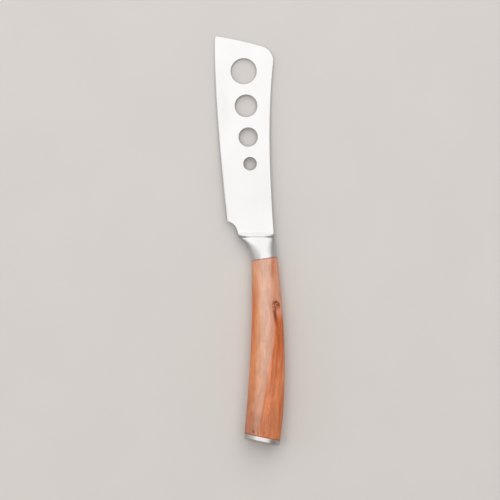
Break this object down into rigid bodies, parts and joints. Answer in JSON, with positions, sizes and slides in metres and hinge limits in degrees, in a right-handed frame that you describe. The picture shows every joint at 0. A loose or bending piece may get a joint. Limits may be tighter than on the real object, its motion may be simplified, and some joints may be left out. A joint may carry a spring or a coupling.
{
  "type": "cheese knife",
  "caption": "Cheese knife with a holed steel blade, a flared steel bolster, a curved wooden handle on a through tang, and a domed steel end cap.",
  "frame": {"origin": "on the plane that the handle lies on, below the middle of the whole knife's box; the blade's middle plane and the tang's axis run parallel to it at half the handle's thickness", "axes": "+X from the cutting edge to the spine, +Y from the butt to the tip, along the tang, +Z square to the blade's middle plane"},
  "size_m": [0.041, 0.2398, 0.0155],
  "materials": {
    "blade_steel": "fine satin",
    "bolster_steel": "satin, brushed round",
    "handle_wood": "oiled, reddish grain with a knot",
    "cap_steel": "satin",
    "tang_steel": "as drawn",
    "resin": "cured, dull"
  },
  "bodies": {
    "root": {"blade": "blade_steel", "bolster": "bolster_steel", "tang_rod": "tang_steel", "tang_epoxy": "resin", "handle": "handle_wood", "tang_washer": "tang_steel", "tang_nut": "tang_steel", "end_cap": "cap_steel"}
  },
  "joints": []
}
